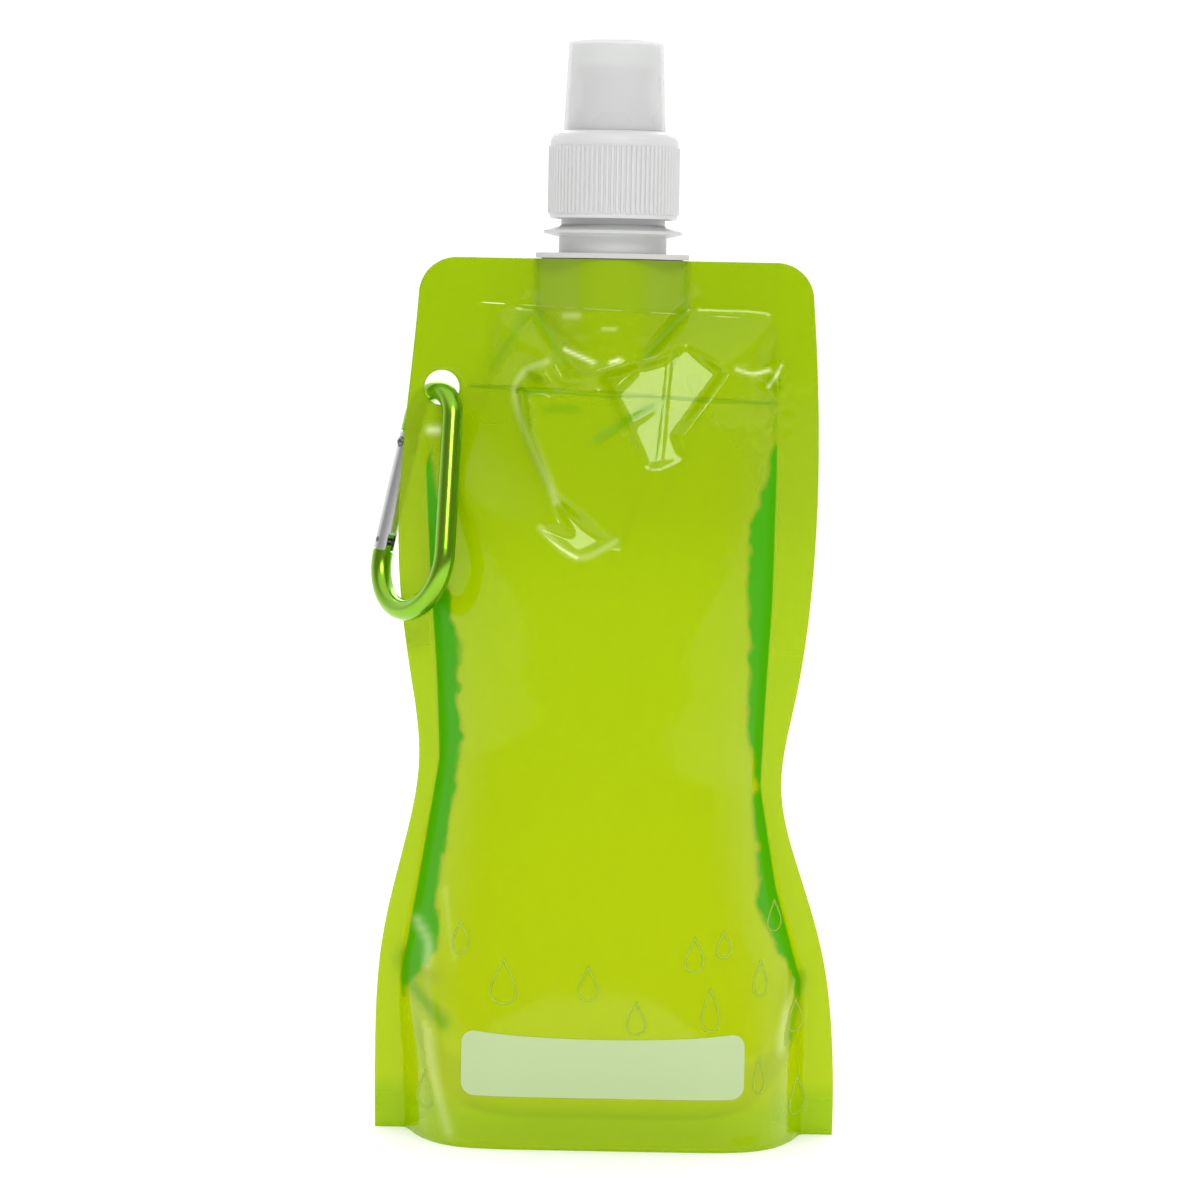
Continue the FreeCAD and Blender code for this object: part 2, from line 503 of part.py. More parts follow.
def carabiner_body():
    """The bent rod with a pivot tongue at the top of the gate and a hooked tongue at the bottom."""
    spine_top = Vector(GATE_TOP.x, -GATE_TOP.y, 0)
    spine_bottom = Vector(GATE_BOTTOM.x, -GATE_BOTTOM.y, 0)
    quarter = math.pi / 2
    top = bend(TOP_BEND, 0, quarter + FLARE, math.pi - 2 * FLARE)
    bottom = bend(BOTTOM_BEND, BEND_DISTANCE, -quarter - FLARE, math.pi + 2 * FLARE)
    spine = rod(spine_top, spine_bottom)
    shoulder = along_gate(rod(ORIGIN, Vector(GATE_START - GATE_GAP, 0, 0)))
    tongue = slab(GATE_START - 1.2, PIVOT_ALONG, -TONGUE_HALF_WIDTH, TONGUE_HALF_WIDTH,
                  TONGUE_HALF_THICKNESS)
    tongue = tongue.fuse(across(TONGUE_HALF_WIDTH, PIVOT_ALONG, TONGUE_HALF_THICKNESS))
    flat = PIVOT_ALONG + TONGUE_FLAT
    tongue = tongue.cut(slab(flat, flat + BEYOND, -BEYOND, BEYOND, BEYOND))
    tongue = along_gate(tongue.cut(across(PIN_RADIUS + PIVOT_PLAY, PIVOT_ALONG, BEYOND)))
    latch = GATE_LENGTH - LATCH_FROM_END
    hook = slab(latch - 1.7, GATE_LENGTH + 0.8, -2.1, 1.6, TONGUE_HALF_THICKNESS)
    hook = along_gate(hook.cut(slab(latch - HOOK_MOUTH, latch + HOOK_MOUTH, -0.85, BEYOND, BEYOND)))
    return union(top, spine, bottom, shoulder, tongue, hook)


def gate():
    """The tube that closes the ring, slotted at both ends and bored for its spring."""
    end = GATE_LENGTH - GATE_GAP
    start = PIVOT_ALONG - ROD_RADIUS
    tube = rod(Vector(start, 0, 0), Vector(end, 0, 0))
    latch = GATE_LENGTH - LATCH_FROM_END
    rounded = across(ROD_RADIUS, PIVOT_ALONG, BEYOND)
    rounded = rounded.fuse(slab(PIVOT_ALONG, end + 1, -BEYOND, BEYOND, BEYOND))
    bore = rod(Vector(PIVOT_ALONG, 0, 0), Vector(end - 7, 0, 0), GATE_BORE_RADIUS)
    upper_slot = slab(start - 1, PIVOT_ALONG + 2.6, -BEYOND, BEYOND, SLOT_HALF_WIDTH)
    lower_slot = slab(latch - 2.3, end + 1, -BEYOND, BEYOND, SLOT_HALF_WIDTH)
    tube = tube.common(rounded).cut(bore).cut(upper_slot).cut(lower_slot)
    tube = tube.cut(across(PIN_RADIUS + GATE_PIN_PLAY, PIVOT_ALONG, BEYOND))
    tube = tube.cut(across(LATCH_RADIUS + GATE_PIN_PLAY, latch, BEYOND))
    seat = across(PIN_HEAD_RADIUS + PIN_HEAD_PLAY, PIVOT_ALONG, BEYOND)
    return along_gate(tube.cut(seat.cut(across(BEYOND, PIVOT_ALONG, PIN_SEAT))))


def pivot_rivet():
    """The rivet that the gate turns on: a shank with a domed head on each side."""
    sphere_radius = (PIN_HEAD_RADIUS ** 2 + PIN_HEAD_HEIGHT ** 2) / (2 * PIN_HEAD_HEIGHT)
    heads = []
    for side in (-1, 1):
        ball = Part.makeSphere(sphere_radius)
        ball.translate(Vector(PIVOT_ALONG, 0, side * (PIN_SEAT + PIN_HEAD_HEIGHT - sphere_radius)))
        cup = Part.makeCylinder(PIN_HEAD_RADIUS, PIN_HEAD_HEIGHT, Vector(PIVOT_ALONG, 0, side * PIN_SEAT),
                                UP * side)
        heads.append(cup.common(ball))
    return along_gate(union(across(PIN_RADIUS, PIVOT_ALONG, PIN_SEAT), *heads))


def latch_pin():
    """The crosspin in the gate's end that drops into the body's hook."""
    return along_gate(across(LATCH_RADIUS, GATE_LENGTH - LATCH_FROM_END, ROD_RADIUS - 0.1))


def gate_plunger():
    """The small headed pin that the spring holds against the pivot tongue."""
    face = Vector(PIVOT_ALONG + TONGUE_FLAT + PLUNGER_GAP, 0, 0)
    neck = face + Vector(PLUNGER_HEAD, 0, 0)
    head = rod(face, neck, GATE_BORE_RADIUS - PLUNGER_PLAY)
    stem = rod(neck, neck + Vector(PLUNGER_STEM, 0, 0), STEM_RADIUS)
    return along_gate(union(head, stem))


def gate_spring():
    """The coil spring behind the plunger."""
    start = PIVOT_ALONG + TONGUE_FLAT + PLUNGER_GAP + PLUNGER_HEAD + PLUNGER_PLAY
    helix = Part.makeHelix(SPRING_LENGTH / SPRING_TURNS, SPRING_LENGTH, SPRING_RADIUS)
    circle = Part.Wire(Part.makeCircle(SPRING_WIRE, Vector(SPRING_RADIUS, 0, 0), Vector(0, 1, 0)))
    coil = Part.Wire(helix.Edges).makePipeShell([circle], True, True)
    coil.rotate(ORIGIN, Vector(0, 1, 0), 90)
    coil.translate(Vector(start + SPRING_WIRE, 0, 0))
    return along_gate(coil)


def main():
    save(panel(True), "front_panel")
    save(panel(False), "back_panel")
    save(gusset(), "gusset_panel")
    save(spout_fitment(), "spout_fitment")
    save(cap_seal(), "cap_seal_ring")
    save(screw_cap(), "screw_cap")
    save(pull_spout(), "pull_up_spout")
    save(dust_cover(), "dust_cover")
    pose = ring_place()
    clip = {"carabiner_body": carabiner_body(), "carabiner_gate": gate(),
            "gate_pivot_rivet": pivot_rivet(), "gate_latch_pin": latch_pin(),
            "gate_plunger": gate_plunger(), "gate_spring": gate_spring()}
    for node, shape in clip.items():
        shape.Placement = pose.multiply(shape.Placement)
        save(shape, node)
    pivot = pose.multVec(GATE_PLACE.multVec(Vector(PIVOT_ALONG, 0, 0)))
    normal = pose.Rotation.multVec(UP)
    hem = film_depth(0, 0) + FILM / 2
    print("front hem y", round(-hem, 3))
    print("gate pivot", [round(v, 3) for v in pivot], "axis", [round(v, 5) for v in normal])
    gate_line = pose.Rotation.multVec(GATE_PLACE.Rotation.multVec(Vector(1, 0, 0)))
    print("gate line", [round(v, 5) for v in gate_line])


main()
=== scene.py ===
"""Looks for the folding water bottle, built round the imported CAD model. Metres, in the CAD's frame."""

import json
import math

import bmesh
import bpy
import numpy as np
from mathutils import Euler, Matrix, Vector
from mathutils.bvhtree import BVHTree


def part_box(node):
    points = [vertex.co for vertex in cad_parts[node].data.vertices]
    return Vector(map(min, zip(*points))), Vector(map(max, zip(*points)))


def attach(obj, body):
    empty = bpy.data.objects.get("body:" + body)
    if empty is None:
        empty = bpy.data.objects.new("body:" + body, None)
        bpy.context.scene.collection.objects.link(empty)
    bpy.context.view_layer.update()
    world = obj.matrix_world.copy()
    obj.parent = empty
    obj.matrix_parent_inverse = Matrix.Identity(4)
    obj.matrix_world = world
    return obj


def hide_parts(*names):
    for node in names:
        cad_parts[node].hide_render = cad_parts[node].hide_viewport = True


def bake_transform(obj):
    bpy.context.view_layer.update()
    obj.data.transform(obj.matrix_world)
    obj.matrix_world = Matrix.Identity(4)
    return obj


MM = 0.001
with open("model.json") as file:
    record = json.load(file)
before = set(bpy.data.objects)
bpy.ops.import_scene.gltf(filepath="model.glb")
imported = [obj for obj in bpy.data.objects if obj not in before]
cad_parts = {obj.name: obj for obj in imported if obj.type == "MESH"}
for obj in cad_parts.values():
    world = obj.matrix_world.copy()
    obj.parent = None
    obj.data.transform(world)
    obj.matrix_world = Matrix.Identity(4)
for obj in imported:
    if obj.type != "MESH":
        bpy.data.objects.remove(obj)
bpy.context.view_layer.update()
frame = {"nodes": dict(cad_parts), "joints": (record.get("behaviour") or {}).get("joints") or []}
nodes = frame["nodes"]
joints = {joint["name"]: joint for joint in frame["joints"]}

# ---------------------------------------------------------------- sizes, from the frame where it has them
POUCH_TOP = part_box("front_panel")[1].z
HOLE = Vector(joints["carabiner_swing"]["pos_m"])
HOLE_RADIUS = 4.2 * MM
CORNER_RADIUS = 9 * MM
FILM = 0.3 * MM  # thickness
FILM_OUTSIDE = 0.42 * MM  # least distance of a film's outer face from the seals' middle plane
FILM_MISSED = 0.45 * MM  # the same distance where a ray misses the CAD film
WATER_LEVEL, WATER_SLOPE = 178.4 * MM, -0.04
TOP_SEAL, TOP_SEAL_SLOPE = 198.5 * MM, -0.04

# Edges of the unsealed chamber as (z, x) in millimetres, as in the CAD model.
CHAMBER_LEFT = [(-5, -45.4), (15, -46.4), (37, -48.0), (62, -43.9), (90, -39.6), (112, -40.6),
                (136, -42.6), (160, -44.0), (170, -42.0), (180, -34), (188, -29.5), (215, -29)]
CHAMBER_RIGHT = [(-5, 49.2), (15, 49.4), (38, 48.9), (60, 42.6), (84, 38.4), (105, 39.1),
                 (130, 40.3), (160, 40.7), (185, 40.4), (215, 39.5)]
# Width of the dark band of painted shade, where the curved film refracts light away, inside each side seal,
# as (z, width) in millimetres.
BAND_LEFT = [(27, -3), (32, 0), (37, 4), (45, 8.5), (60, 5.5), (83, 5.5), (105, 6), (122, 6), (131, 4),
             (150, 3.5), (160, 2.5), (166, 0), (169, -3), (215, -3)]
BAND_RIGHT = [(27, -3), (31, 0), (38, 2), (50, 5.5), (70, 4), (85, 2), (100, 4.5), (118, 5), (135, 7),
              (148, 6.5), (156, 4), (162, 1.5), (174, 0.4), (180, -3), (215, -3)]
BACK_BAND_NARROWER = 1.5 * MM  # so that the back film's bands stay hidden behind the front's

# How finely the films are sampled.
SEAL_COLUMNS, CHAMBER_COLUMNS = 24, 155
EDGE_CROWDING = 0.4  # 0 spaces the chamber's columns evenly, and more crowds them towards its edges
LOW_ROWS, HIGH_ROWS, CORNER_ROWS = 82, 122, 13
FINE_FROM = 134 * MM  # height over which the rows are finer
EDGE_INSET = 0.02 * MM  # slices of the CAD film stay this far from its ends
RAY_INSET = 0.15 * MM  # and rays this far inside its outline
FAR = 0.1  # distance that rays start from
RIM_REACH = 1.3 * MM  # points of the carabiner's hole this far outside its circle are moved onto it


def along(points, z):
    """Linear value at z (metres) of (z, value) pairs in millimetres, in metres."""
    zs, values = zip(*points)
    return np.interp(np.asarray(z) / MM, zs, values) * MM


# ---------------------------------------------------------------- reading the CAD meshes
class Slices:
    """A CAD node as a surface to cast rays at, and to slice for its edges."""

    def __init__(self, node):
        mesh = nodes[node].data
        self.co = np.array([v.co for v in mesh.vertices])
        self.tree = BVHTree.FromPolygons([v.co for v in mesh.vertices], [p.vertices for p in mesh.polygons])
        self.ends = self.co[np.array([e.vertices for e in mesh.edges])]

    def span(self, cut, at, along_axis):
        """Lowest and highest place along one axis of the slice where the cut axis has value at."""
        a, b = self.ends[:, 0], self.ends[:, 1]
        crossing = (a[:, cut] - at) * (b[:, cut] - at) <= 0
        a, b = a[crossing], b[crossing]
        step = b[:, cut] - a[:, cut]
        t = np.where(np.abs(step) > 1e-9, (at - a[:, cut]) / np.where(step == 0, 1, step), 0)
        places = a[:, along_axis] + t * (b[:, along_axis] - a[:, along_axis])
        return places.min(), places.max()

    def hit(self, origin, direction):
        return self.tree.ray_cast(Vector(origin), Vector(direction))[0]


# ---------------------------------------------------------------- film
# Flats that the slack film folds into: corners as (x, z), a middle (x, z, depth), and the slopes of depth
# along x and z, all in millimetres. Later flats lie over earlier ones.
FRONT_FLATS = [
    ([(-21, 180), (-19, 168), (-12, 152), (3, 143), (10, 160), (0, 181)], (-6, 162, 18.7), 0.02, -0.045),
    ([(-16, 147), (-9, 146), (-13, 154), (-2, 146), (2, 144), (-7, 140)], (-6, 143, 19.5), 0.0, -0.36),
    ([(-19, 184), (-15, 186), (-11, 180), (-14, 179)], (-14, 182, 14.4), 0.03, -0.36),
    ([(-2, 183), (12, 187), (18, 191), (27, 184), (16, 169), (18, 163), (9, 161)],
     (14, 175, 13.6), -0.04, -0.36),
    ([(30, 185), (42, 186), (40, 180), (38, 183)], (37, 184, 8.0), -0.12, -0.36)]
BACK_FLATS = [
    ([(-26, 184), (-12, 188), (-5, 181), (-9, 160), (-15, 152), (-19, 163)], (-14, 172, 14.6), 0.03, -0.34),
    ([(2, 182), (16, 189), (27, 181), (21, 167), (12, 156), (6, 166)], (14, 173, 14.2), -0.05, -0.36),
    ([(-6, 148), (8, 151), (14, 144), (2, 138), (-9, 141)], (2, 144, 19.4), 0.02, -0.34)]
FOLD = 1.6  # half width of the rounded fold round each flat, in millimetres
CREASE_PAST = 0.3  # a crease fades out this share of its length past each end
# Creases as ((x, z) start, (x, z) end, depth, width) in millimetres.
FRONT_CREASES = [((-18.5, 198), (-11, 185.5), 0.7, 1.0), ((-20, 198), (-28, 185), 0.6, 1.3),
                 ((17.5, 198.5), (4, 183), 0.7, 1.2), ((-10, 188.5), (-4, 185.5), -0.4, 0.7),
                 ((-2.5, 167), (9.5, 175), 0.25, 1.4), ((14, 187), (12, 162), 0.25, 0.5),
                 ((-39.5, 33), (-35.5, 8), -0.5, 1.0), ((45.5, 42), (43.5, 28), -0.5, 1.0),
                 ((-44, 44), (-41, 36), 0.5, 1.6), ((-36, 50), (-33, 41), -0.3, 1.0),
                 ((34, 52), (38, 40), -0.3, 1.2)]
BACK_CREASES = [((15.5, 198), (8, 185), 0.9, 1.0), ((-17, 198), (-6, 184), 0.9, 1.2),
                ((17, 198), (27, 187), 0.7, 1.3), ((-40, 34), (-36, 8), -0.5, 1.0),
                ((44, 40), (42, 12), -0.5, 1.0), ((-36, 52), (-30, 40), -0.3, 1.2)]


def curved(places, steps=6):
    """Places along a smooth curve through the given ones."""
    ends = [places[0], *places, places[-1]]
    out = []
    for before, a, b, after in zip(ends, ends[1:], ends[2:], ends[3:]):
        for t in (step / steps for step in range(steps)):
            out.append(tuple(0.5 * (2 * q + (r - p) * t + (2 * p - 5 * q + 4 * r - w) * t * t
                                    + (3 * q - p - 3 * r + w) * t ** 3)
                             for p, q, r, w in zip(before, a, b, after)))
    return out + [places[-1]]


# Lines of painted light along the film's folds and creases: painted highlight (shade above 0) and painted
# shade (below 0), as (places (x, z), half width, shade) in millimetres.
FRONT_PAINTED_LIGHT = [
    (curved([(-15, 186), (-21, 183), (-22, 175), (-12, 153)]), 0.8, 0.5),
    (curved([(-16, 147), (-7, 140), (2, 144)]), 0.7, 0.4),
    (curved([(-11, 189), (-4, 186)]), 0.5, 1.0), ([(0, 186), (2, 187)], 0.45, 0.8),
    ([(-11, 197), (-8, 197)], 0.9, 0.45), ([(-2, 194), (1, 194)], 0.5, 0.4),
    (curved([(30, 185), (34, 184), (38, 185)]), 0.45, 0.9), ([(41, 186), (38, 181)], 0.45, 0.9),
    ([(-43, 169), (-41, 169)], 1.2, 0.9),
    (curved([(-41, 27), (-39, 16), (-35, 3)]), 1.4, 0.35),
    (curved([(48, 38), (45, 30), (44, 23)]), 1.5, 0.35),
    (curved([(-44, 51), (-41, 47), (-41, 42)]), 1.3, 0.4),
    (curved([(-37, 60), (-36, 52), (-34, 44)]), 0.7, 0.2),
    ([(-18, 198), (-11, 186)], 1.0, -0.42), ([(-20, 198), (-28, 185)], 1.4, -0.32),
    ([(17, 198), (8, 187)], 1.2, -0.40), ([(-3, 168), (10, 176)], 1.3, -0.6),
    ([(-22, 179), (-16, 178)], 0.8, -0.45), ([(-15, 175), (-8, 175)], 1.1, -0.5),
    (curved([(-47, 42), (-45, 36), (-37, 29)]), 2.3, -0.75),
    (curved([(-44, 31), (-42, 20), (-40, 9)]), 1.0, -0.35),
    (curved([(49, 39), (48, 33), (46, 25)]), 1.5, -0.7),
    (curved([(38, 24), (42, 18), (43, 10)]), 1.5, -0.2),
    (curved([(16, 190), (13, 178), (11, 162)]), 0.35, -0.5),
    ([(-17.6, 199), (-17.6, 210)], 0.9, -0.3), ([(17.6, 199), (17.6, 210)], 0.6, -0.5)]
BACK_PAINTED_LIGHT = [(curved([(20, 182), (22, 174), (17, 160), (11, 148)]), 0.7, 0.5),
              (curved([(-14, 186), (-6, 183), (1, 185)]), 0.6, 0.7),
              ([(-40, 27), (-37, 6)], 0.9, 0.3), ([(45, 36), (43, 10)], 0.9, 0.3),
              ([(17, 198), (9, 186)], 1.2, -0.4), ([(-17, 198), (-7, 185)], 1.2, -0.4),
              ([(-44, 38), (-40, 34)], 2.0, -0.5), ([(48, 37), (46, 31)], 1.8, -0.5),
              ([(-17.6, 199), (-17.6, 210)], 0.9, -0.3), ([(17.6, 199), (17.6, 210)], 0.9, -0.3)]


def from_segment(start, end, x, z):
    """Distance of (x, z) from a segment."""
    (x0, z0), (x1, z1) = start, end
    t = ((x - x0) * (x1 - x0) + (z - z0) * (z1 - z0)) / ((x1 - x0) ** 2 + (z1 - z0) ** 2)
    t = min(max(t, 0), 1)
    return math.hypot(x - x0 - t * (x1 - x0), z - z0 - t * (z1 - z0))


def painted_light_at(lines, x, z):
    """The strongest painted light of the fold lines at (x, z): painted highlight above 0, painted shade below
    0.
    """
    xm, zm, best = x / MM, z / MM, 0.0
    for places, width, shade in lines:
        xs, zs = zip(*places)
        if min(xs) - 3 * width < xm < max(xs) + 3 * width and min(zs) - 3 * width < zm < max(zs) + 3 * width:
            off = min(from_segment(a, b, xm, zm) for a, b in zip(places, places[1:]))
            here = shade * math.exp(-((off / width) ** 2))
            best = here if abs(here) > abs(best) else best
    return best


def inside_flat(corners, x, z):
    """How far (x, z) is inside a flat's corners, in the same units. Outside it's negative."""
    inside, nearest = False, 1e9
    for (x0, z0), (x1, z1) in zip(corners, corners[1:] + corners[:1]):
        if (z0 > z) != (z1 > z) and x < x0 + (z - z0) * (x1 - x0) / (z1 - z0):
            inside = not inside
        nearest = min(nearest, from_segment((x0, z0), (x1, z1), x, z))
    return nearest if inside else -nearest


def flats_and_creases(flats, creases, x, z, depth):
    """Depth of the film after its flats have cut the bulge and its creases have dented it."""
    xm, zm, d = x / MM, z / MM, depth / MM
    for corners, (x0, z0, d0), gx, gz in flats:
        reach = inside_flat(corners, xm, zm)
        if reach > -FOLD:
            share = min((reach + FOLD) / (2 * FOLD), 1)
            share = share * share * (3 - 2 * share)
            d += share * (d0 + gx * (xm - x0) + gz * (zm - z0) - d)
    for (x0, z0), (x1, z1), dent, width in creases:
        length2 = (x1 - x0) ** 2 + (z1 - z0) ** 2
        t = ((xm - x0) * (x1 - x0) + (zm - z0) * (z1 - z0)) / length2
        if -CREASE_PAST < t < 1 + CREASE_PAST:
            off = math.hypot(xm - x0 - t * (x1 - x0), zm - z0 - t * (z1 - z0))
            fade = max(0.0, 1 - (abs(t - 0.5) / (0.5 + CREASE_PAST)) ** 3)
            d -= dent * fade * math.exp(-((off / width) ** 2))
    return d * MM


def film_columns(left, low, high, right):
    """x places across one row: the left seal, the chamber with finer columns at its edges, the right seal."""
    seal, middle = np.linspace(0, 1, SEAL_COLUMNS)[:-1], np.linspace(-1, 1, CHAMBER_COLUMNS)
    middle = (1 - EDGE_CROWDING) * middle + EDGE_CROWDING * np.sin(middle * math.pi / 2)
    inner = (low + high) / 2 + middle * (high - low) / 2
    return np.concatenate([left + seal * (low - left), inner, high + (1 - seal[::-1]) * (right - high)])


def film_rows():
    """z places, with finer rows where the film is creased and at the rounded corners."""
    straight = POUCH_TOP - CORNER_RADIUS
    low = np.linspace(0, FINE_FROM, LOW_ROWS)[:-1]
    high = np.linspace(FINE_FROM, straight, HIGH_ROWS)[:-1]
    corner = straight + CORNER_RADIUS * np.sin(np.linspace(0, math.pi / 2, CORNER_ROWS))
    return np.concatenate([low, high, corner])


def film_panel(node, sign):
    """One creased film panel: a thin closed shell sampled from the CAD panel. Sign is -1 for the front."""
    cad = Slices(node)
    flats, creases = (FRONT_FLATS, FRONT_CREASES) if sign < 0 else (BACK_FLATS, BACK_CREASES)
    lines = FRONT_PAINTED_LIGHT if sign < 0 else BACK_PAINTED_LIGHT
    hidden = 0 if sign < 0 else BACK_BAND_NARROWER
    rows = film_rows()
    co, insets, bands = [], [], []
    for z in rows:
        zc = min(max(z, EDGE_INSET), POUCH_TOP - EDGE_INSET)
        left, right = cad.span(2, zc, 0)
        low, high = float(along(CHAMBER_LEFT, z)), float(along(CHAMBER_RIGHT, z))
        for x in film_columns(left, low, high, right):
            xc = min(max(x, left + RAY_INSET), right - RAY_INSET)
            hit = cad.hit((xc, sign * FAR, zc), (0, -sign, 0))
            depth = sign * hit.y if hit else FILM_MISSED
            sealed = x < low or x > high
            depth = flats_and_creases([] if sealed else flats, creases, x, z, depth)
            co.append((x, sign * max(depth, FILM_OUTSIDE), z))
            insets.append((x - low, high - x, TOP_SEAL - z))
            bands.append((float(along(BAND_LEFT, z)) - hidden - (x - low),
                          float(along(BAND_RIGHT, z)) - hidden - (high - x),
                          painted_light_at(lines, x, z)))
    across = len(film_columns(0, 1, 2, 3))
    grid = np.arange(len(co)).reshape(len(rows), across)
    quads = np.stack([grid[:-1, :-1], grid[:-1, 1:], grid[1:, 1:], grid[1:, :-1]], -1).reshape(-1, 4)
    co = np.array(co)
    radius = np.hypot(co[:, 0] - HOLE.x, co[:, 2] - HOLE.z)
    quads = quads[(radius[quads] > HOLE_RADIUS).all(1)]
    mesh = bpy.data.meshes.new(f"{node}_film")
    mesh.from_pydata(co.tolist(), [], (quads if sign < 0 else quads[:, ::-1]).tolist())
    add_attributes(mesh, rest=co, inset=insets, band=bands)
    round_hole(mesh)
    film = bpy.data.objects.new(f"{node}_film", mesh)
    bpy.context.scene.collection.objects.link(film)
    solidify(film, FILM)
    return film


def add_attributes(mesh, **layers):
    """Vector attributes that the film's material reads.

    rest: the point before any bending.
    inset: how far it is inside the left, right and top seals.
    band: how far it is inside the left and right dark bands of painted shade, and the painted highlight and
    shade of the fold lines.
    """
    for name, values in layers.items():
        layer = mesh.attributes.new(name, "FLOAT_VECTOR", "POINT")
        layer.data.foreach_set("vector", np.array(values, np.float32).ravel())


def round_hole(mesh):
    """Drops loose points and moves the rim of the carabiner's hole onto a circle."""
    bm = bmesh.new()
    bm.from_mesh(mesh)
    bmesh.ops.delete(bm, geom=[v for v in bm.verts if not v.link_faces], context="VERTS")
    for v in bm.verts:
        off = Vector((v.co.x - HOLE.x, 0, v.co.z - HOLE.z))
        if v.is_boundary and off.length < HOLE_RADIUS + RIM_REACH:
            on_rim = off.normalized() * HOLE_RADIUS
            v.co.x, v.co.z = HOLE.x + on_rim.x, HOLE.z + on_rim.z
    bm.to_mesh(mesh)
    bm.free()


def solidify(piece, thickness):
    """Gives a sheet its thickness, inward from its outer face, and applies it."""
    shell = piece.modifiers.new("thickness", "SOLIDIFY")
    shell.thickness = thickness
    shell.offset = -1
    shell.use_even_offset = True
    apply_modifiers(piece)
    for polygon in piece.data.polygons:
        polygon.use_smooth = True


def apply_modifiers(piece):
    """Replaces a piece's mesh with what its modifiers make of it."""
    bpy.context.view_layer.update()
    evaluated = piece.evaluated_get(bpy.context.evaluated_depsgraph_get())
    mesh = bpy.data.meshes.new_from_object(evaluated)
    piece.modifiers.clear()
    piece.data = mesh


GUSSET_ROWS, GUSSET_COLUMNS, GUSSET_INSET = 93, 41, 0.1 * MM
GUSSET_FOLD, GUSSET_FOLD_TURNS = 0.35 * MM, 420  # depth, and radians to a metre
GUSSET_FOLD_X, GUSSET_FOLD_WIDTH = 40 * MM, 9 * MM


def gusset_film():
    """The bottom film, sampled from the CAD saddle, with the soft folds that run across it."""
    cad = Slices("gusset_panel")
    low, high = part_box("gusset_panel")
    rows = []
    for x in np.linspace(low.x + GUSSET_INSET, high.x - GUSSET_INSET, GUSSET_ROWS):
        y0, y1 = cad.span(0, x, 1)
        row = []
        for share in np.linspace(-1, 1, GUSSET_COLUMNS):
            y = (y0 + y1) / 2 + share * ((y1 - y0) / 2 - GUSSET_INSET)
            hit = cad.hit((x, y, low.z - 0.02), (0, 0, 1))
            z = hit.z if hit else row[-1][2]
            near = math.exp(-((abs(x) - GUSSET_FOLD_X) / GUSSET_FOLD_WIDTH) ** 2)
            fold = GUSSET_FOLD * math.sin(y * GUSSET_FOLD_TURNS) * near
            row.append((x, y, z + fold * (1 - share ** 2)))
        rows.append(row)
    co = [p for row in rows for p in row]
    grid = np.arange(len(co)).reshape(len(rows), -1)
    quads = np.stack([grid[:-1, :-1], grid[:-1, 1:], grid[1:, 1:], grid[1:, :-1]], -1).reshape(-1, 4)
    mesh = bpy.data.meshes.new("gusset_panel_film")
    mesh.from_pydata(co, [], quads[:, ::-1].tolist())
    add_attributes(mesh, rest=co, inset=[(1, 1, 1)] * len(co), band=[(-1, -1, 0)] * len(co))
    film = bpy.data.objects.new("gusset_panel_film", mesh)
    bpy.context.scene.collection.objects.link(film)
    solidify(film, FILM)
    return film


# ---------------------------------------------------------------- prints on the front film
class Surface:
    """The finished front film as a surface that prints lie on."""

    def __init__(self, piece):
        mesh = piece.data
        self.tree = BVHTree.FromPolygons([v.co for v in mesh.vertices], [p.vertices for p in mesh.polygons])

    def place(self, x, z, lift):
        """The point at (x, z) that stands lift off the film's outer face."""
        place, normal, _, _ = self.tree.ray_cast(Vector((x, -FAR, z)), Vector((0, 1, 0)))
        return place + normal * (lift if normal.y < 0 else -lift)


STRIP_WIDTH, STRIP_LOW, STRIP_HIGH, STRIP_CORNER = 67 * MM, 12.6 * MM, 28 * MM, 3 * MM
STRIP_X, STRIP_SAG = 1.3 * MM, 1.2 * MM  # the sag of its top edge
STRIP_COLUMNS, STRIP_CORNER_STEPS, STRIP_SIDE_STEPS = 61, 7, 7
PRINT = 0.06 * MM  # height of the ink over the film


def write_on_strip(surface):
    """The pale write-on strip: a rounded rectangle printed on the front film."""
    half, middle = (STRIP_HIGH - STRIP_LOW) / 2, (STRIP_HIGH + STRIP_LOW) / 2
    straight = half - STRIP_CORNER
    rounded = straight + STRIP_CORNER * np.sin(np.linspace(0, math.pi / 2, STRIP_CORNER_STEPS))
    side = np.linspace(-straight, straight, STRIP_SIDE_STEPS)[1:-1]
    zs = np.concatenate([-rounded[::-1], side, rounded])
    co = []
    for z in zs:
        over = max(abs(z) - straight, 0)
        cut = STRIP_CORNER - math.sqrt(max(STRIP_CORNER ** 2 - over ** 2, 0))
        for share in np.linspace(-1, 1, STRIP_COLUMNS):
            x = STRIP_X + share * (STRIP_WIDTH / 2 - cut)
            sag = STRIP_SAG * (1 - share ** 2) * (z + half) / (2 * half)
            co.append(surface.place(x, middle + z - sag, PRINT))
    grid = np.arange(len(co)).reshape(len(zs), -1)
    quads = np.stack([grid[:-1, :-1], grid[:-1, 1:], grid[1:, 1:], grid[1:, :-1]], -1).reshape(-1, 4)
    return new_piece("write_on_strip", co, quads.tolist())


# Water drops printed in outline, as (x, z of the middle, width, height) in millimetres.
DROPS = [(-22.5, 40, 7, 10.5), (-2.5, 40, 5, 8), (9, 32, 5, 7.5), (26.5, 34, 5, 10), (22.5, 47, 5, 8),
         (29.5, 49, 4, 6), (38.5, 40.5, 4, 8), (42, 54, 4, 7), (47.5, 30, 4.5, 7.5), (48.5, 10.5, 4.5, 9),
         (38.5, 18, 3, 8.5), (-33, 49.5, 4.5, 7.5), (-41, 12, 4.5, 9)]
DROP_FULLNESS, DROP_POINT = 0.62, 1.6  # its widest place, and how sharply its sides draw in to the point
DROP_LINE = 0.22 * MM  # half width of the printed line
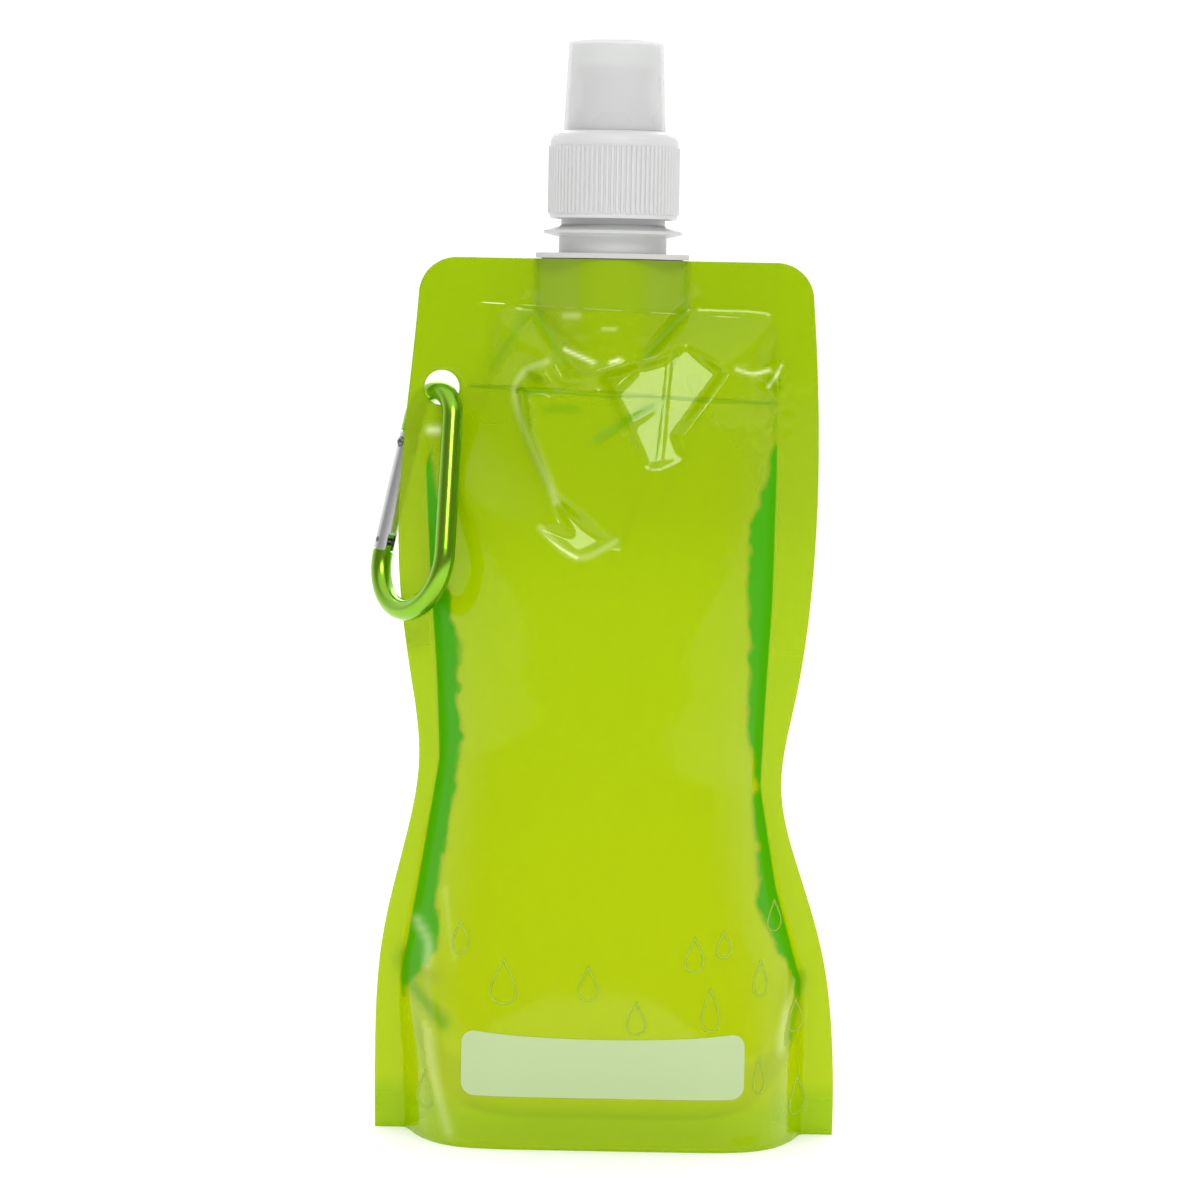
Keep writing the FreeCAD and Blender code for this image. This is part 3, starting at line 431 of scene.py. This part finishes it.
# The line's cross-section, as (share of the half width, height over the film).
DROP_SECTION = ((-1, 0.02 * MM), (0, 0.1 * MM), (1, 0.02 * MM), (0, -0.05 * MM))


def drop_outline(width, height, count=48):
    """A water drop with its point up, about its own middle."""
    turns = [2 * math.pi * i / count for i in range(count)]
    return [(DROP_FULLNESS * width * math.sin(t) * math.sin(t / 2) ** DROP_POINT, 0.5 * height * math.cos(t))
            for t in turns]


def water_drops(surface):
    """Every printed drop as a thin raised line that follows the film."""
    co, quads = [], []
    for x0, z0, width, height in DROPS:
        outline = drop_outline(width * MM, height * MM)
        first, count = len(co), len(outline)
        for i, (dx, dz) in enumerate(outline):
            after, before = outline[(i + 1) % count], outline[i - 1]
            along_line = Vector((after[0] - before[0], after[1] - before[1])).normalized()
            side = Vector((along_line.y, -along_line.x)) * DROP_LINE
            for out, lift in DROP_SECTION:
                co.append(surface.place(x0 * MM + dx + side.x * out, z0 * MM + dz + side.y * out, lift))
        for i in range(count):
            for k in range(4):
                a, b = first + i * 4, first + (i + 1) % count * 4
                quads.append((a + k, b + k, b + (k + 1) % 4, a + (k + 1) % 4))
    return new_piece("water_drop_prints", co, quads)


def new_piece(name, co, faces):
    """A smooth-shaded object from points and faces, its faces turned outward."""
    mesh = bpy.data.meshes.new(name)
    mesh.from_pydata([tuple(p) for p in co], [], faces)
    piece = bpy.data.objects.new(name, mesh)
    bpy.context.scene.collection.objects.link(piece)
    bm = bmesh.new()
    bm.from_mesh(mesh)
    bmesh.ops.recalc_face_normals(bm, faces=bm.faces)
    bm.to_mesh(mesh)
    bm.free()
    for polygon in mesh.polygons:
        polygon.use_smooth = True
    return piece


# ---------------------------------------------------------------- materials
class Nodes:
    """A material's node tree, with short calls for the nodes used here."""

    def __init__(self, name):
        self.material = bpy.data.materials.new(name)
        self.material.use_nodes = True
        self.tree = self.material.node_tree
        self.tree.nodes.clear()
        self.output = self.add("ShaderNodeOutputMaterial")

    def add(self, kind, inputs=None, **settings):
        node = self.tree.nodes.new(kind)
        for key, value in settings.items():
            setattr(node, key, value)
        for key, value in (inputs or {}).items():
            self.feed(node.inputs[key], value)
        return node

    def feed(self, socket, value):
        if isinstance(value, bpy.types.NodeSocket):
            self.tree.links.new(value, socket)
        else:
            socket.default_value = value

    def math(self, operation, a, b=0.0, clamp=False):
        node = self.add("ShaderNodeMath", {0: a, 1: b}, operation=operation, use_clamp=clamp)
        return node.outputs[0]

    def inverse(self, value):
        return self.math("SUBTRACT", 1.0, value)

    def smooth(self, value, low, high):
        """0 where value is under low, 1 where it is over high, smooth between."""
        node = self.add("ShaderNodeMapRange", {0: value, 1: low, 2: high}, interpolation_type="SMOOTHSTEP")
        return node.outputs[0]

    def mix(self, share, a, b):
        node = self.add("ShaderNodeMix", data_type="RGBA")
        for socket, value in ((node.inputs[0], share), (node.inputs[6], a), (node.inputs[7], b)):
            self.feed(socket, value)
        return node.outputs[2]

    def noise(self, vector, scale, detail=2.0):
        inputs = {"Vector": vector, "Scale": scale, "Detail": detail}
        return self.add("ShaderNodeTexNoise", inputs).outputs["Fac"]

    def centred_noise(self, vector, scale, detail, reach):
        """Noise about 0, between minus and plus half of reach."""
        return self.math("MULTIPLY", self.math("SUBTRACT", self.noise(vector, scale, detail), 0.5), reach)

    def place(self):
        """The object's own coordinates."""
        return self.add("ShaderNodeTexCoord").outputs["Object"]

    def attribute(self, name):
        """A vector attribute, whole and as its x, y and z."""
        source = self.add("ShaderNodeAttribute", attribute_name=name)
        parts = self.add("ShaderNodeSeparateXYZ", {0: source.outputs["Vector"]})
        return source.outputs["Vector"], parts.outputs

    def bump(self, height, strength, distance):
        node = self.add("ShaderNodeBump", {"Height": height, "Strength": strength, "Distance": distance})
        return node.outputs["Normal"]

    def show_mixed(self, see, skin, tint):
        """Shows a shader with tinted clear let through by the share see."""
        clear = self.add("ShaderNodeBsdfTransparent", {"Color": tint})
        mixed = self.add("ShaderNodeMixShader", {0: see, 1: skin, 2: clear.outputs[0]})
        return self.show(mixed.outputs[0])

    def show(self, shader):
        self.tree.links.new(shader, self.output.inputs["Surface"])
        return self.material


# The film's colours, as linear red, green, blue and alpha.
FILM_LOW, FILM_HIGH = (0.64, 0.68, 0.0, 1), (0.40, 0.53, 0.0, 1)
FILM_MOTTLE = (0.62, 0.70, 0.0, 1)
HEM_GREEN = (0.34, 0.56, 0.0, 1)
# Painted shade: the dark green of the bands inside the side seals, where the curved film refracts light away.
BAND_SHADE_GREEN = (0.04, 0.42, 0.0, 1)
WATER_GREEN = (0.16, 0.40, 0.0, 1)
# Painted shade along creases and folds.
CREASE_SHADE_GREEN = (0.08, 0.38, 0.0, 1)
# Painted highlight along folds and the top seal's edge.
HIGHLIGHT_PALE = (0.84, 0.94, 0.46, 1)
WELDED_GREEN = (0.27, 0.44, 0.0, 1)
LIGHT_THROUGH = (0.84, 0.95, 0.005, 1)
# Share of light that goes straight through, how much more at the seals, and how much less at marks:
# the painted shade and highlights, the water line and the weld.
SEE_THROUGH, SEE_SEALED, SEE_MARKED = 0.6, 0.03, 0.48


def film_material():
    """Glossy tinted film that lets coloured light through, with painted shade as darker bands inside its side
    seals, and painted highlights and painted shade along its folds.
    """
    n = Nodes("lime_film")
    rest, place = n.attribute("rest")
    _, inset = n.attribute("inset")
    _, band = n.attribute("band")
    side_inset = n.math("MINIMUM", inset[0], inset[1])
    dark = painted_shade_bands(n, rest, inset, band)
    water = water_line(n, rest, place, side_inset)
    welded = welded_patch(n, place)
    # Painted shade and painted highlights from the fold lines, with a painted highlight along the top seal's
    # edge.
    crease_shade = n.math("MULTIPLY", band[2], -1.0, clamp=True)
    painted_highlight = n.math("MAXIMUM", n.math("MULTIPLY", band[2], 1.0, clamp=True), seal_edge_highlight(n, rest, place))

    base = n.mix(n.smooth(place[2], 0.0, 210 * MM), FILM_LOW, FILM_HIGH)
    base = n.mix(n.math("MULTIPLY", n.noise(rest, scale=18.0), 0.12), base, FILM_MOTTLE)
    hem = n.math("MULTIPLY", n.inverse(n.smooth(place[2], 7 * MM, 14 * MM)), 0.6)
    base = n.mix(hem, base, HEM_GREEN)
    base = n.mix(n.math("MULTIPLY", dark, 0.94), base, BAND_SHADE_GREEN)
    base = n.mix(water, base, WATER_GREEN)
    base = n.mix(crease_shade, base, CREASE_SHADE_GREEN)
    base = n.mix(painted_highlight, base, HIGHLIGHT_PALE)
    base = n.mix(n.math("MULTIPLY", welded, 0.8), base, WELDED_GREEN)

    # The coat is thin on the painted shade and the water line, where its reflection would look blue-grey.
    shade = n.math("MAXIMUM", n.math("MAXIMUM", dark, crease_shade), water)
    coat = n.math("SUBTRACT", 0.95, n.math("MULTIPLY", shade, 0.9))
    fine = n.math("MULTIPLY", n.noise(rest, scale=300.0), 0.05)
    crumple = n.math("ADD", n.noise(rest, scale=55.0, detail=3.0), fine)
    gloss = n.math("ADD", 0.16, n.math("MULTIPLY", n.noise(rest, scale=120.0), 0.12))
    skin = n.add("ShaderNodeBsdfPrincipled", {
        "Base Color": base, "Roughness": gloss, "Normal": n.bump(crumple, strength=0.18, distance=0.5 * MM),
        "Coat Weight": coat, "Coat Roughness": 0.05, "IOR": 1.5, "Specular IOR Level": 0.06})

    painted_fold_lines = n.math("MAXIMUM", crease_shade, painted_highlight)
    shut = n.math("MAXIMUM", n.math("MAXIMUM", dark, water), n.math("MAXIMUM", painted_fold_lines, welded))
    sealed = n.inverse(n.smooth(side_inset, -1 * MM, 0.0))
    open_film = n.math("ADD", SEE_THROUGH, n.math("MULTIPLY", sealed, SEE_SEALED))
    see = n.math("SUBTRACT", open_film, n.math("MULTIPLY", shut, SEE_MARKED), clamp=True)
    return n.show_mixed(see, skin.outputs[0], LIGHT_THROUGH)


def painted_shade_bands(n, rest, inset, band):
    """1 in the ragged dark band of painted shade inside each side seal, where the curved film refracts light
    away, and 0 elsewhere.
    """
    # The noise leaves depth out, so that both films get the same edge and neither band shows past the other.
    flattened = n.add("ShaderNodeVectorMath", {0: rest, 1: (1, 0, 1)}, operation="MULTIPLY").outputs[0]
    ragged = n.centred_noise(flattened, scale=150.0, detail=3.0, reach=6.5 * MM)
    masks = []
    for side in (0, 1):
        reach = n.smooth(n.math("ADD", band[side], ragged), -0.7 * MM, 1.1 * MM)
        inside = n.smooth(inset[side], 0.0, 0.4 * MM)
        masks.append(n.math("MULTIPLY", reach, inside))
    return n.math("MAXIMUM", masks[0], masks[1], clamp=True)


def water_line(n, rest, place, side_inset):
    """The water's surface: a fine, slightly wavy line across the chamber."""
    wave = n.centred_noise(rest, scale=60.0, detail=1.0, reach=1.2 * MM)
    level = n.math("ADD", n.math("SUBTRACT", place[2], n.math("MULTIPLY", place[0], WATER_SLOPE)), wave)
    off = n.math("ABSOLUTE", n.math("SUBTRACT", level, WATER_LEVEL))
    line = n.inverse(n.smooth(off, 0.18 * MM, 0.5 * MM))
    in_chamber = n.smooth(side_inset, 0.0, 2 * MM)
    return n.math("MULTIPLY", n.math("MULTIPLY", line, in_chamber), 0.7)


def welded_patch(n, place):
    """1 where the films are welded to the spout's boat, and 0 elsewhere."""
    over_seam = n.smooth(place[2], 197.5 * MM, 199.5 * MM)
    beside = n.smooth(n.math("ABSOLUTE", place[0]), 17.0 * MM, 19.5 * MM)
    return n.math("MULTIPLY", over_seam, n.inverse(beside))


# A painted highlight along the top seal's edge; these place and fade its brightest left end.
SEAL_END, SEAL_END_HALF, SEAL_END_FADED = 28.5 * MM, 2.6 * MM, 3.2 * MM  # the bright left end of its line


def seal_edge_highlight(n, rest, place):
    """A painted highlight: a fine broken line along the top seal's edge, brightest at its left end."""
    slope = n.math("MULTIPLY", place[0], TOP_SEAL_SLOPE)
    off = n.math("ABSOLUTE", n.math("SUBTRACT", n.math("SUBTRACT", place[2], slope), TOP_SEAL))
    line = n.inverse(n.smooth(off, 0.08 * MM, 0.2 * MM))
    broken = n.math("MULTIPLY", n.smooth(n.noise(rest, scale=90.0), 0.50, 0.56), 0.45)
    from_end = n.math("ABSOLUTE", n.math("ADD", place[0], SEAL_END))
    end = n.inverse(n.smooth(from_end, SEAL_END_HALF, SEAL_END_FADED))
    within = n.inverse(n.smooth(n.math("ABSOLUTE", place[0]), 30 * MM, 32 * MM))
    return n.math("MULTIPLY", n.math("MULTIPLY", line, n.math("MAXIMUM", broken, end)), within, clamp=True)


def darker(colour, share):
    """A colour and the same colour with a share of its light, both with alpha."""
    return (*colour, 1), (*(c * share for c in colour), 1)


def milky_plastic(name, colour, see, roughness, grain):
    """Natural polyolefin: pale, softly translucent, with a fine moulded grain."""
    n = Nodes(name)
    place = n.place()
    cloud = n.math("MULTIPLY", n.noise(place, scale=60.0), 0.16)
    skin = n.add("ShaderNodeBsdfPrincipled", {
        "Base Color": n.mix(cloud, *darker(colour, 0.86)), "IOR": 1.49,
        "Normal": n.bump(n.noise(place, scale=1500.0), strength=grain, distance=0.1 * MM),
        "Roughness": n.math("ADD", roughness, cloud), "Coat Weight": 0.3, "Coat Roughness": 0.1})
    if not see:
        return n.show(skin.outputs[0])
    return n.show_mixed(see, skin.outputs[0], (0.96, 0.97, 0.96, 1))


def metal(name, colour, roughness, scratch, coat=0.0):
    """Polished or brushed metal with faint handling marks, and the clear skin that anodising leaves."""
    n = Nodes(name)
    place = n.place()
    marks = n.noise(place, scale=900.0, detail=4.0)
    wear = n.smooth(n.noise(place, scale=260.0, detail=3.0), 0.62, 0.8)
    worn = (*(min(1, c * 1.5 + 0.05) for c in colour), 1)
    skin = n.add("ShaderNodeBsdfPrincipled", {
        "Base Color": n.mix(n.math("MULTIPLY", wear, 0.12), (*colour, 1), worn), "Metallic": 1.0,
        "Normal": n.bump(marks, strength=scratch, distance=0.05 * MM),
        "Coat Weight": coat, "Coat Roughness": 0.08,
        "Roughness": n.math("ADD", roughness, n.math("MULTIPLY", marks, 0.08))})
    return n.show(skin.outputs[0])


def print_material(name, colour, see, roughness):
    """Pale ink on the film, a little see-through."""
    n = Nodes(name)
    uneven = n.math("MULTIPLY", n.noise(n.place(), scale=300.0, detail=3.0), 0.1)
    base = n.mix(uneven, *darker(colour, 0.9))
    skin = n.add("ShaderNodeBsdfPrincipled", {"Base Color": base, "Roughness": roughness})
    return n.show_mixed(see, skin.outputs[0], (0.85, 0.95, 0.5, 1))


def rubber_material():
    """Soft pale silicone."""
    n = Nodes("seal_silicone")
    base = n.mix(n.noise(n.place(), scale=200.0), (0.6, 0.6, 0.58, 1), (0.7, 0.7, 0.68, 1))
    skin = n.add("ShaderNodeBsdfPrincipled", {"Base Color": base, "Roughness": 0.55})
    return n.show(skin.outputs[0])


def paint(piece, material):
    """Gives a piece one material in place of its own."""
    piece.data.materials.clear()
    piece.data.materials.append(material)


# ---------------------------------------------------------------- the object
SHARP = math.radians(32)  # edges of CAD nodes steeper than this stay sharp


def make_films():
    """The three films and the prints on the front one, in place of the plain CAD films."""
    film = film_material()
    front = film_panel("front_panel", -1)
    back = film_panel("back_panel", 1)
    gusset = gusset_film()
    surface = Surface(front)
    for piece, node in ((front, "front_panel"), (back, "back_panel"), (gusset, "gusset_panel")):
        paint(piece, film)
        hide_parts(node)
    strip = write_on_strip(surface)
    paint(strip, print_material("write_on_ink", (0.55, 0.68, 0.36), 0.10, 0.5))
    drops = water_drops(surface)
    paint(drops, print_material("drop_ink", (0.58, 0.76, 0.10), 0.45, 0.35))
    for piece in (strip, drops):
        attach(piece, "pouch")
    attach(gusset, "pouch")
    for piece in (front, back):
        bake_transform(piece)


def dress_cad_nodes():
    """Better materials for the CAD nodes that stay, and smooth shading where faces nearly line up."""
    steel = metal("steel", (0.16, 0.16, 0.17), 0.25, 0.2)
    looks = {
        "spout_fitment": milky_plastic("fitment_polyethylene", (0.63, 0.635, 0.63), 0.12, 0.34, 0.2),
        "cap_seal_ring": rubber_material(),
        "screw_cap": milky_plastic("cap_polypropylene", (0.70, 0.70, 0.70), 0.10, 0.32, 0.25),
        "pull_up_spout": milky_plastic("spout_polyethylene", (0.60, 0.60, 0.60), 0.0, 0.3, 0.2),
        "dust_cover": milky_plastic("cover_polypropylene", (0.78, 0.78, 0.78), 0.5, 0.2, 0.1),
        "carabiner_body": metal("green_anodising", (0.22, 0.47, 0.01), 0.2, 0.12, 0.5),
        "carabiner_gate": metal("satin_aluminium", (0.62, 0.62, 0.63), 0.28, 0.3),
        "gate_pivot_rivet": steel, "gate_latch_pin": steel, "gate_plunger": steel, "gate_spring": steel}
    for node, material in looks.items():
        piece = nodes[node]
        paint(piece, material)
        piece.data.shade_smooth()
        piece.data.set_sharp_from_angle(angle=SHARP)


# ---------------------------------------------------------------- camera, floor and lights
def area_light(name, place, target, size, power):
    """A white soft box that faces its target."""
    data = bpy.data.lights.new(name, "AREA")
    data.shape = "RECTANGLE"
    data.size, data.size_y = size
    data.energy = power
    light = bpy.data.objects.new(name, data)
    light.location = place
    light.rotation_euler = (Vector(target) - Vector(place)).to_track_quat("-Z", "Y").to_euler()
    bpy.context.scene.collection.objects.link(light)


SKY_BRIGHT, SKY_FRONT = 1.15, 0.30
FLOOR_REACH = 9.0


def studio():
    """A pale floor under an even sky, brighter behind the bottle, with soft boxes in front and behind."""
    corners = [(x * FLOOR_REACH, y * FLOOR_REACH, 0) for x, y in ((-1, -1), (1, -1), (1, 1), (-1, 1))]
    floor = new_piece("floor", corners, [(0, 1, 2, 3)])
    n = Nodes("pale_floor")
    skin = n.add("ShaderNodeBsdfPrincipled", {"Base Color": (0.93, 0.93, 0.93, 1), "Roughness": 0.8,
                                              "Emission Color": (1, 1, 1, 1), "Emission Strength": 0.14})
    paint(floor, n.show(skin.outputs[0]))
    world = bpy.data.worlds.new("studio")
    world.use_nodes = True
    tree = world.node_tree
    background = tree.nodes["Background"]
    direction = tree.nodes.new("ShaderNodeTexCoord")
    parts = tree.nodes.new("ShaderNodeSeparateXYZ")
    bright = tree.nodes.new("ShaderNodeMath")
    bright.operation = "MAXIMUM"
    tree.links.new(direction.outputs["Generated"], parts.inputs[0])
    for slot, axis, low, high in ((0, "Y", -0.4, 0.6), (1, "Z", 0.5, 0.8)):
        share = tree.nodes.new("ShaderNodeMapRange")
        share.interpolation_type = "SMOOTHSTEP"
        share.inputs["From Min"].default_value = low
        share.inputs["From Max"].default_value = high
        share.inputs["To Min"].default_value = SKY_FRONT
        share.inputs["To Max"].default_value = SKY_BRIGHT
        tree.links.new(parts.outputs[axis], share.inputs["Value"])
        tree.links.new(share.outputs["Result"], bright.inputs[slot])
    tree.links.new(bright.outputs[0], background.inputs["Strength"])
    background.inputs["Color"].default_value = (1, 1, 1, 1)
    bpy.context.scene.world = world
    bpy.context.scene.view_settings.view_transform = "Standard"
    middle = (0, 0, 0.15)
    area_light("key", (0.15, -1.05, 0.94), middle, (0.5, 0.4), 6.5)
    area_light("behind", (0, 1.9, 1.6), (0, 0.6, 0), (2.4, 1.6), 22)


CAMERA_DISTANCE, CAMERA_HEIGHT = 1.10, 0.200
CAMERA_YAW, CAMERA_ROLL = math.radians(-0.1), math.radians(1.1)
CAMERA_TARGET = Vector((-1.4 * MM, 0, 128.8 * MM))
CAMERA_LENS, CAMERA_SENSOR = 137.4, 36


def camera():
    """A long lens from the front, a little above, with the slight roll of a hand-set bottle."""
    across, back = CAMERA_DISTANCE * math.sin(CAMERA_YAW), CAMERA_DISTANCE * math.cos(CAMERA_YAW)
    place = Vector((CAMERA_TARGET.x + across, -back, CAMERA_HEIGHT))
    data = bpy.data.cameras.new("camera")
    data.sensor_width = CAMERA_SENSOR
    data.lens = CAMERA_LENS
    cam = bpy.data.objects.new("camera", data)
    cam.location = place
    aim = (CAMERA_TARGET - place).to_track_quat("-Z", "Y")
    cam.rotation_euler = (aim @ Euler((0, 0, CAMERA_ROLL)).to_quaternion()).to_euler()
    bpy.context.scene.collection.objects.link(cam)
    bpy.context.scene.camera = cam


make_films()
dress_cad_nodes()
studio()
camera()
